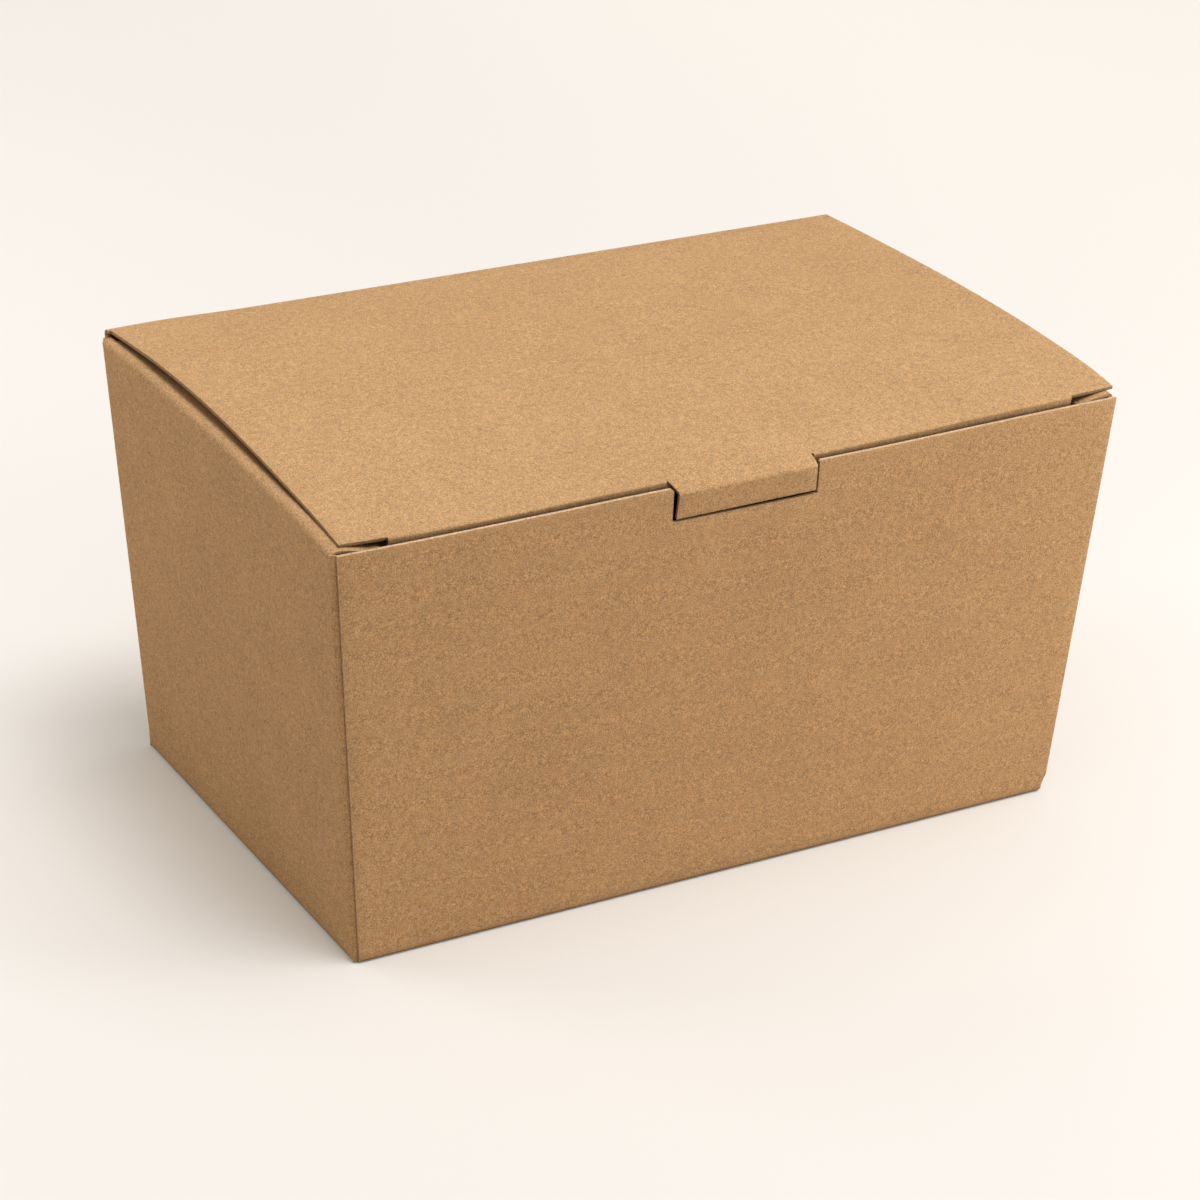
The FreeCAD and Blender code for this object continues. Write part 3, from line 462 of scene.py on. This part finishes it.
def build_carton(settings, kraft, cut):
    board = settings.board * 1000
    radius = settings.fold * 1000
    sheet = Sheet()
    half_x = fold_foot(HALF_WIDTH, SIDE_SLOPE, radius, 1)[0][0]
    half_y = fold_foot(HALF_DEPTH, FRONT_SLOPE, radius, 1)[0][0]
    side = spread(22.0, half_x, 20)
    corner = [1.0 - math.cos(a) for a in spread(0.0, math.pi / 2, 6)]
    left = [-NOTCH_LEFT + 1.1 * c for c in corner] + side
    right = [NOTCH_RIGHT + 0.45 * c for c in corner] + [20.4] + side
    middle = spread(NOTCH_LEFT, NOTCH_RIGHT, 14)
    across = [-x for x in reversed(left)] + middle[1:-1] + right
    deep = spread(-half_y, half_y, 36)
    add_upright(sheet, -1, notched_top, settings.bow * 1000, board, radius, across)
    add_upright(sheet, 1, lambda x: 106.2, settings.bow * 1000, board, radius, across)
    for sign in (-1, 1):
        add_side(sheet, sign, board, radius, settings.dust_slope, deep)
    sheet.patch(across, deep, lambda x, y: (x, y, 0.0), turn=True, lay=lambda x, y: (x, y))
    return sheet.build("carton_board", settings.board, (kraft, cut))


# The lid

def lid_shift(x, y):
    """The lid's front sits a little to the right: the box was shut by hand."""
    return 0.15 + (0.85 + 0.78 * max(0.0, x) / 98.0) * (STRIP_Y - y) / (STRIP_Y - CREASE_Y)


def panel_height(x, y):
    """Height of the lid's outer face: two crowned edges, and the crease's own course in front."""
    left = along(LEFT_EDGE, y)
    right = along(RIGHT_EDGE, y)
    share = (x - LID_LEFT) / (LID_RIGHT - LID_LEFT)
    straight = LEFT_EDGE[0][1] * (1 - share) + RIGHT_EDGE[0][1] * share
    course = along(CREASE_TOP, x + 1.0) + 0.05 - straight
    behind = max(0.0, y - CREASE_Y - 0.5)
    corner = 0.35 * math.exp(-((x + 85.0) / 14.0) ** 2 - (STRIP_Y - y) / 12.0)
    return left * (1 - share) + right * share + course * math.exp(-behind / 22.0) + corner


def build_lid(settings, board, kraft, cut):
    radius = settings.crease * 1000
    lean = settings.tuck_lean
    crease_y = CREASE_Y + radius
    window = 12.0
    sheet = Sheet()
    right = [WINDOW_RIGHT, 19.5] + spread(22.0, TUCK_RIGHT, 20)[:-1] + spread(TUCK_RIGHT, LID_RIGHT, 6)
    left = spread(LID_LEFT, TUCK_LEFT, 6)[:-1] + spread(TUCK_LEFT, -22.0, 20) + [-20.8, WINDOW_LEFT]
    middle = spread(TAB_LEFT, TAB_RIGHT, 14)
    across = left + middle + right
    back_rows = [("panel", y) for y in spread(STRIP_Y, crease_y, 44)]
    bend_rows = [("bend", f) for f in spread(0.0, 1.0, 6)[1:]]
    tuck_rows = [("tuck", d) for d in spread(0.0, window, 6)[1:] + spread(window, 17.6, 3)[1:]]
    rows = back_rows + bend_rows + tuck_rows
    crease_row = len(back_rows) - 1
    window_row = crease_row + len(bend_rows) + 6

    def slope_at(x):
        return math.atan((panel_height(x, crease_y + 0.5) - panel_height(x, crease_y)) / 0.5)

    def place(x, row):
        kind, value = row
        if kind == "panel":
            return (x + lid_shift(x, value), value, panel_height(x, value))
        height = panel_height(x, crease_y)
        slope = slope_at(x)
        centre_y = crease_y + radius * math.sin(slope)
        centre_z = height - radius * math.cos(slope)
        start = math.pi / 2 + slope
        end = math.pi + lean
        angle = end if kind == "tuck" else start + (end - start) * value
        y = centre_y + radius * math.cos(angle)
        z = centre_z + radius * math.sin(angle)
        if kind == "tuck":
            y += value * math.sin(lean)
            z -= value * math.cos(lean)
            trim = 3.0 * ease(0.0, 18.0, value)
            if abs(x) > 22.0:
                x = math.copysign(22.0 + (abs(x) - 22.0) * (1.0 - trim / 65.0), x)
            if x == WINDOW_LEFT:
                x += 2.3 * ease(0.0, 2.4, value)
        return (x + lid_shift(x, crease_y), y, z)

    def keep(i, j):
        middle_x = 0.5 * (across[i] + across[i + 1])
        if not TUCK_LEFT < middle_x < TUCK_RIGHT and j >= crease_row:
            return False
        if WINDOW_LEFT < middle_x < WINDOW_RIGHT and crease_row <= j < window_row:
            return False
        return True

    def lay(x, row):
        kind, value = row
        if kind == "panel":
            return (x, 300.0 - value)
        if kind == "bend":
            return (x, 361.0 + 1.6 * value)
        return (x, 363.0 + value)

    sheet.patch(across, rows, place, keep, turn=True, lay=lay)

    # the tab: neck, bend and hanging end
    radius = settings.tab_bend * 1000
    bend_y = -63.3 + radius
    bend_z = 101.15
    tab_lean = math.radians(6.0)
    end_slope = math.radians(38.0)
    tip_y = bend_y - radius * math.sin(end_slope)
    tip_z = bend_z + radius * math.cos(end_slope)

    def tab_place(x, row):
        kind, value = row
        tilt = 0.15 * x / 18.0
        # the root is cut wider on the left, and the end flares a little
        edge = WINDOW_LEFT + (TAB_LEFT - WINDOW_LEFT) * (value if kind == "neck" else 1.0)
        if x < -10.0:
            x = -10.0 + (x + 10.0) * (edge + 10.0) / (WINDOW_LEFT + 10.0)
        if kind == "hang":
            x *= 1.0 + 0.012 * value / hang
        if kind == "neck":
            root_z = panel_height(x, crease_y)
            root_slope = slope_at(x) + 0.15
            span = math.hypot(tip_y - crease_y, tip_z - root_z)
            a = (1 + 2 * value) * (1 - value) ** 2
            b = value * (1 - value) ** 2
            c = value ** 2 * (3 - 2 * value)
            d = value ** 2 * (value - 1)
            y = a * crease_y + b * span * -math.cos(root_slope) + c * tip_y + d * span * -math.cos(end_slope)
            z = a * root_z + b * span * -math.sin(root_slope) + c * (tip_z + tilt)
            z += d * span * -math.sin(end_slope)
            return (x + lid_shift(x, crease_y), y, z)
        start = math.pi / 2 + end_slope
        end = math.pi + tab_lean
        angle = end if kind == "hang" else start + (end - start) * value
        y = bend_y + radius * math.cos(angle)
        z = bend_z + radius * math.sin(angle) + tilt
        if kind == "hang":
            y += value * math.sin(tab_lean)
            z -= value * math.cos(tab_lean)
        return (x + lid_shift(x, crease_y), y, z)

    hang = (bend_z - radius * math.sin(tab_lean) - NOTCH_LOW - 0.9) / math.cos(tab_lean)
    tab_rows = [("neck", f) for f in spread(0.0, 1.0, 12)]
    tab_rows += [("bend", f) for f in spread(0.0, 1.0, 8)[1:]]
    tab_rows += [("hang", d) for d in spread(0.0, hang, 6)[1:]]

    def tab_lay(x, row):
        kind, value = row
        return (x, {"neck": 358.0, "bend": 363.5, "hang": 365.0}[kind] + value * (5.0 if kind == "neck" else 1.0))

    sheet.patch([WINDOW_LEFT] + middle, tab_rows, tab_place, turn=True, lay=tab_lay)
    return sheet.build("lid_board", board, (kraft, cut))


def build_strip(board, kraft, cut):
    """The bent board between the back wall and the lid."""
    sheet = Sheet()
    strip_y = STRIP_Y
    radius = 1.3
    lean = math.atan(FRONT_SLOPE)
    wall = [("wall", z) for z in (106.2, 106.3)]
    bend = [("bend", f) for f in spread(0.0, 1.0, 10)]
    rows = wall + bend + [("lid", f) for f in (0.0, 0.5, 1.0)][1:]
    across = [LID_LEFT - 0.7] + spread(LID_LEFT, LID_RIGHT, 48)

    def place(x, row):
        kind, value = row
        end_z = panel_height(x, strip_y)
        slope = math.atan((end_z - panel_height(x, strip_y - 0.5)) / 0.5)
        x += lid_shift(x, strip_y)
        # the bend touches the wall's outer face and the line that carries the panel on
        wall_y = front_edge(106.3)
        angle_lid = math.pi / 2 + slope
        angle_wall = -lean
        # centre one radius inside both lines
        nx1, nz1 = math.cos(angle_wall), math.sin(angle_wall)
        nx2, nz2 = math.cos(angle_lid), math.sin(angle_lid)
        d1 = wall_y * nx1 + 106.3 * nz1 - radius
        d2 = strip_y * nx2 + end_z * nz2 - radius
        determinant = nx1 * nz2 - nz1 * nx2
        cy = (d1 * nz2 - d2 * nz1) / determinant
        cz = (nx1 * d2 - nx2 * d1) / determinant
        if kind == "wall":
            return (x, front_edge(value), value)
        if kind == "bend":
            angle = angle_wall + (angle_lid - angle_wall) * value
            return (x, cy + radius * math.cos(angle), cz + radius * math.sin(angle))
        touch_y = cy + radius * math.cos(angle_lid)
        touch_z = cz + radius * math.sin(angle_lid)
        return (x, touch_y + (strip_y - touch_y) * value, touch_z + (end_z - touch_z) * value)

    def lay(x, row):
        kind, value = row
        return (x, {"wall": value + 60.0, "bend": 236.0 + value * 2, "lid": 238.0 + value}[kind])

    sheet.patch(across, rows, place, turn=True, lay=lay)
    return sheet.build("back_fold", board, (kraft, cut))


# Materials

BACKDROP = (0.955, 0.885, 0.815, 1.0)


def kraft_material(name, settings, base):
    """Natural kraft board: short fibres, darker and lighter flecks, broad mottling, and painted shade that darkens the
    colour in crevices.
    """
    material = bpy.data.materials.new(name)
    material.use_nodes = True
    tree = material.node_tree
    nodes, links = tree.nodes, tree.links
    shader = nodes["Principled BSDF"]
    shader.inputs["Roughness"].default_value = 0.82
    shader.inputs["Specular IOR Level"].default_value = 0.18
    place = nodes.new("ShaderNodeTexCoord")
    shift = nodes.new("ShaderNodeVectorMath")
    shift.operation = "ADD"
    shift.inputs[1].default_value = (settings.seed * 1.7, settings.seed * 0.6, settings.seed * 2.3)
    links.new(place.outputs["Object"], shift.inputs[0])

    def noise(scale, detail, rough, stretch=(1.0, 1.0, 1.0)):
        size = nodes.new("ShaderNodeVectorMath")
        size.operation = "MULTIPLY"
        size.inputs[1].default_value = stretch
        links.new(shift.outputs[0], size.inputs[0])
        texture = nodes.new("ShaderNodeTexNoise")
        texture.inputs["Scale"].default_value = scale
        texture.inputs["Detail"].default_value = detail
        texture.inputs["Roughness"].default_value = rough
        links.new(size.outputs[0], texture.inputs["Vector"])
        return texture.outputs["Fac"]

    def level(value, low, high, to_low, to_high):
        span = nodes.new("ShaderNodeMapRange")
        span.inputs["From Min"].default_value = low
        span.inputs["From Max"].default_value = high
        span.inputs["To Min"].default_value = to_low
        span.inputs["To Max"].default_value = to_high
        links.new(value, span.inputs["Value"])
        return span.outputs["Result"]

    def total(a, b):
        plus = nodes.new("ShaderNodeMath")
        plus.operation = "ADD"
        links.new(a, plus.inputs[0])
        links.new(b, plus.inputs[1])
        return plus.outputs[0]

    amount = settings.fibre
    grain = level(noise(3200.0, 2.0, 0.6), 0.25, 0.75, -0.46 * amount, 0.46 * amount)
    speck = level(noise(800.0, 2.0, 0.5), 0.3, 0.7, -0.10 * amount, 0.10 * amount)
    cloud = level(noise(60.0, 5.0, 0.62), 0.3, 0.7, -0.045, 0.045)
    tone = total(total(grain, speck), cloud)
    scale = nodes.new("ShaderNodeMath")
    scale.operation = "ADD"
    scale.inputs[1].default_value = 1.0
    links.new(tone, scale.inputs[0])
    colour = nodes.new("ShaderNodeVectorMath")
    colour.operation = "SCALE"
    colour.inputs[0].default_value = base
    # painted shade: ambient occlusion darkens the board's colour in crevices, gaps and along contacts
    painted_crevice_shade = nodes.new("ShaderNodeAmbientOcclusion")
    painted_crevice_shade.samples = 2
    painted_crevice_shade.inputs["Distance"].default_value = 0.0035
    depth = level(painted_crevice_shade.outputs["AO"], 0.08, 0.55, 0.10, 1.0)
    shade = nodes.new("ShaderNodeMath")
    shade.operation = "MULTIPLY"
    links.new(scale.outputs[0], shade.inputs[0])
    links.new(depth, shade.inputs[1])
    links.new(shade.outputs[0], colour.inputs["Scale"])
    links.new(colour.outputs[0], shader.inputs["Base Color"])
    bump = nodes.new("ShaderNodeBump")
    bump.inputs["Strength"].default_value = 0.25
    bump.inputs["Distance"].default_value = 0.00004
    links.new(tone, bump.inputs["Height"])
    links.new(bump.outputs["Normal"], shader.inputs["Normal"])
    return material


def floor_material():
    """Warm white ground: seen as itself, but throwing back less light than it shows, with painted contact shade near
    the carton and a painted glow that grows towards +x.
    """
    material = bpy.data.materials.new("ground")
    material.use_nodes = True
    nodes, links = material.node_tree.nodes, material.node_tree.links
    nodes.clear()
    out = nodes.new("ShaderNodeOutputMaterial")
    # painted contact shade: ambient occlusion darkens the ground's colour near the carton
    near = nodes.new("ShaderNodeAmbientOcclusion")
    near.samples = 2
    near.inputs["Distance"].default_value = 0.07
    painted_contact_shade = nodes.new("ShaderNodeMapRange")
    painted_contact_shade.inputs["To Min"].default_value = 0.86
    links.new(near.outputs["AO"], painted_contact_shade.inputs["Value"])
    tone = nodes.new("ShaderNodeVectorMath")
    tone.operation = "SCALE"
    tone.inputs[0].default_value = (0.754, 0.727, 0.706)
    links.new(painted_contact_shade.outputs["Result"], tone.inputs["Scale"])
    lit = nodes.new("ShaderNodeBsdfDiffuse")
    links.new(tone.outputs[0], lit.inputs["Color"])
    place = nodes.new("ShaderNodeTexCoord")
    split = nodes.new("ShaderNodeSeparateXYZ")
    links.new(place.outputs["Object"], split.inputs[0])
    # painted light: for the camera the ground glows, more towards +x, which lifts its shadow and brightens its right
    # side
    painted_light_sweep = nodes.new("ShaderNodeMapRange")
    painted_light_sweep.interpolation_type = "SMOOTHSTEP"
    painted_light_sweep.inputs["From Min"].default_value = 0.10
    painted_light_sweep.inputs["From Max"].default_value = 0.42
    painted_light_sweep.inputs["To Min"].default_value = 0.125
    painted_light_sweep.inputs["To Max"].default_value = 0.205
    links.new(split.outputs["X"], painted_light_sweep.inputs["Value"])
    painted_light_glow = nodes.new("ShaderNodeEmission")
    painted_light_glow.inputs["Color"].default_value = (1.0, 0.93, 0.74, 1.0)
    links.new(painted_light_sweep.outputs["Result"], painted_light_glow.inputs["Strength"])
    seen = nodes.new("ShaderNodeAddShader")
    links.new(lit.outputs[0], seen.inputs[0])
    links.new(painted_light_glow.outputs[0], seen.inputs[1])
    # far away the ground turns into the backdrop
    away = nodes.new("ShaderNodeVectorMath")
    away.operation = "LENGTH"
    links.new(place.outputs["Object"], away.inputs[0])
    fade = nodes.new("ShaderNodeMapRange")
    fade.interpolation_type = "SMOOTHSTEP"
    fade.inputs["From Min"].default_value = 0.7
    fade.inputs["From Max"].default_value = 2.4
    links.new(away.outputs["Value"], fade.inputs["Value"])
    distant = nodes.new("ShaderNodeEmission")
    distant.inputs["Color"].default_value = BACKDROP
    whole = nodes.new("ShaderNodeMixShader")
    links.new(fade.outputs["Result"], whole.inputs["Fac"])
    links.new(seen.outputs[0], whole.inputs[1])
    links.new(distant.outputs[0], whole.inputs[2])
    bounce = nodes.new("ShaderNodeBsdfDiffuse")
    bounce.inputs["Color"].default_value = (0.50, 0.44, 0.38, 1.0)
    path = nodes.new("ShaderNodeLightPath")
    mix = nodes.new("ShaderNodeMixShader")
    links.new(path.outputs["Is Camera Ray"], mix.inputs["Fac"])
    links.new(bounce.outputs[0], mix.inputs[1])
    links.new(whole.outputs[0], mix.inputs[2])
    links.new(mix.outputs[0], out.inputs["Surface"])
    return material


# The studio

def add_ground():
    mesh = bpy.data.meshes.new("ground")
    reach = 6.0
    corners = [(-reach, -reach, 0), (reach, -reach, 0), (reach, reach, 0), (-reach, reach, 0)]
    mesh.from_pydata([Vector(c) for c in corners], [], [(0, 1, 2, 3)])
    mesh.materials.append(floor_material())
    ground = bpy.data.objects.new("ground", mesh)
    bpy.context.scene.collection.objects.link(ground)


def add_world():
    world = bpy.data.worlds.new("studio")
    bpy.context.scene.world = world
    world.use_nodes = True
    nodes, links = world.node_tree.nodes, world.node_tree.links
    nodes.clear()
    out = nodes.new("ShaderNodeOutputWorld")
    sky = nodes.new("ShaderNodeBackground")
    sky.inputs["Color"].default_value = (1.0, 0.955, 0.9, 1.0)
    sky.inputs["Strength"].default_value = 0.38
    seen = nodes.new("ShaderNodeBackground")
    seen.inputs["Color"].default_value = BACKDROP
    path = nodes.new("ShaderNodeLightPath")
    mix = nodes.new("ShaderNodeMixShader")
    links.new(path.outputs["Is Camera Ray"], mix.inputs["Fac"])
    links.new(sky.outputs[0], mix.inputs[1])
    links.new(seen.outputs[0], mix.inputs[2])
    links.new(mix.outputs[0], out.inputs["Surface"])


def aim(thing, towards):
    thing.rotation_euler = (Vector(towards) - thing.location).to_track_quat("-Z", "Y").to_euler()


def add_sun(name, energy, spread_angle, place):
    sun = bpy.data.lights.new(name, "SUN")
    sun.energy = energy
    sun.angle = math.radians(spread_angle)
    lamp = bpy.data.objects.new(name, sun)
    lamp.location = Vector(place)
    bpy.context.scene.collection.objects.link(lamp)
    aim(lamp, (0, 0, 0))


def add_panel(name, energy, size, place, towards):
    area = bpy.data.lights.new(name, "AREA")
    area.shape = "SQUARE"
    area.size = size
    area.energy = energy
    lamp = bpy.data.objects.new(name, area)
    lamp.location = Vector(place)
    bpy.context.scene.collection.objects.link(lamp)
    aim(lamp, towards)


def add_lights():
    add_sun("key", 1.25, 25.0, (0.09, -0.32, 0.95))
    add_sun("fill", 0.71, 36.0, (0.30, -0.14, 0.92))
    add_panel("near_front", 0.52, 0.15, (0.34, -0.26, 0.16), (0.09, -0.06, 0.05))
    add_panel("far_left", 1.2, 0.40, (-0.55, 0.45, 0.40), (0, 0, 0.06))


def add_camera():
    """The photograph's viewpoint, found from the carton's corners."""
    azimuth = math.radians(-29.85)
    height = math.radians(25.11)
    roll = math.radians(1.86)
    focal = 3758.0
    offset_x, offset_y = 0.1, -25.9
    back = Vector((
        math.sin(azimuth) * math.cos(height), -math.cos(azimuth) * math.cos(height), math.sin(height)
    ))
    forward = -back
    right = forward.cross(Vector((0, 0, 1))).normalized()
    up = right.cross(forward)
    rolled_right = math.cos(roll) * right + math.sin(roll) * up
    rolled_up = -math.sin(roll) * right + math.cos(roll) * up
    yaw = -math.atan(offset_x / focal)
    pitch = math.atan(offset_y / focal)
    facing = (math.cos(yaw) * forward + math.sin(yaw) * rolled_right)
    side = (math.cos(yaw) * rolled_right - math.sin(yaw) * forward)
    view = (math.cos(pitch) * facing + math.sin(pitch) * rolled_up)
    top = (math.cos(pitch) * rolled_up - math.sin(pitch) * facing)
    data = bpy.data.cameras.new("camera")
    data.sensor_width = 36.0
    data.lens = 36.0 * focal / 1200.0
    data.clip_start = 0.05
    data.clip_end = 30.0
    camera = bpy.data.objects.new("camera", data)
    bpy.context.scene.collection.objects.link(camera)
    turn = Matrix((side, top, -view)).transposed().to_4x4()
    camera.matrix_world = Matrix.Translation(Vector((0, 0, 0.052)) + back * 0.893) @ turn
    bpy.context.scene.camera = camera


# Operators

class CARTON_OT_stage(Operator):
    """Set the ground, the lights and the camera"""
    bl_idname = "carton.stage"
    bl_label = "Stage"

    def execute(self, context):
        scene = context.scene
        scene.view_settings.view_transform = "Standard"
        add_world()
        add_ground()
        add_lights()
        add_camera()
        return {"FINISHED"}


def finish_piece(piece, node, body):
    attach(piece, body)
    if node:
        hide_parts(node)


class CARTON_OT_carton(Operator):
    """Build the tray with its walls, glue flaps and dust flaps"""
    bl_idname = "carton.carton"
    bl_label = "Carton"

    def execute(self, context):
        paper = context.scene.paper_settings
        kraft = kraft_material("kraft_carton", paper, (0.575, 0.344, 0.163))
        cut = kraft_material("cut_carton", paper, (0.74, 0.50, 0.31))
        piece = build_carton(context.scene.carton_settings, kraft, cut)
        finish_piece(piece, "carton", "carton")
        return {"FINISHED"}


class CARTON_OT_lid(Operator):
    """Build the lid with its tuck flap and tab, and the back fold"""
    bl_idname = "carton.lid"
    bl_label = "Lid"

    def execute(self, context):
        scene = context.scene
        paper = scene.paper_settings
        kraft = kraft_material("kraft_lid", paper, (0.575, 0.344, 0.163))
        # painted shade: the cut edges of the lid and the back fold get a darker colour than the carton's, standing in
        # for the shade they sit in
        cut = kraft_material("cut_lid_painted_shade", paper, (0.36, 0.22, 0.115))
        piece = build_lid(scene.lid_settings, scene.carton_settings.board, kraft, cut)
        finish_piece(piece, "lid", "lid")
        strip = build_strip(scene.carton_settings.board, kraft, cut)
        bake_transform(strip)
        return {"FINISHED"}


class CARTON_PT_panel(Panel):
    bl_label = "Carton"
    bl_idname = "CARTON_PT_panel"
    bl_space_type = "VIEW_3D"
    bl_region_type = "UI"
    bl_category = "Carton"

    def draw(self, context):
        layout = self.layout
        for group in ("carton_settings", "lid_settings", "paper_settings"):
            settings = getattr(context.scene, group)
            for name in settings.bl_rna.properties.keys():
                if name not in ("rna_type", "name"):
                    layout.prop(settings, name)
        for operator in ("carton.stage", "carton.carton", "carton.lid"):
            layout.operator(operator)


CLASSES = (
    CartonSettings, LidSettings, PaperSettings,
    CARTON_OT_stage, CARTON_OT_carton, CARTON_OT_lid, CARTON_PT_panel,
)


def register():
    for item in CLASSES:
        bpy.utils.register_class(item)
    bpy.types.Scene.carton_settings = PointerProperty(type=CartonSettings)
    bpy.types.Scene.lid_settings = PointerProperty(type=LidSettings)
    bpy.types.Scene.paper_settings = PointerProperty(type=PaperSettings)


def unregister():
    del bpy.types.Scene.paper_settings
    del bpy.types.Scene.lid_settings
    del bpy.types.Scene.carton_settings
    for item in reversed(CLASSES):
        bpy.utils.unregister_class(item)


def main():
    register()
    bpy.ops.carton.stage()
    bpy.ops.carton.carton()
    bpy.ops.carton.lid()


if __name__ == "__main__":
    main()
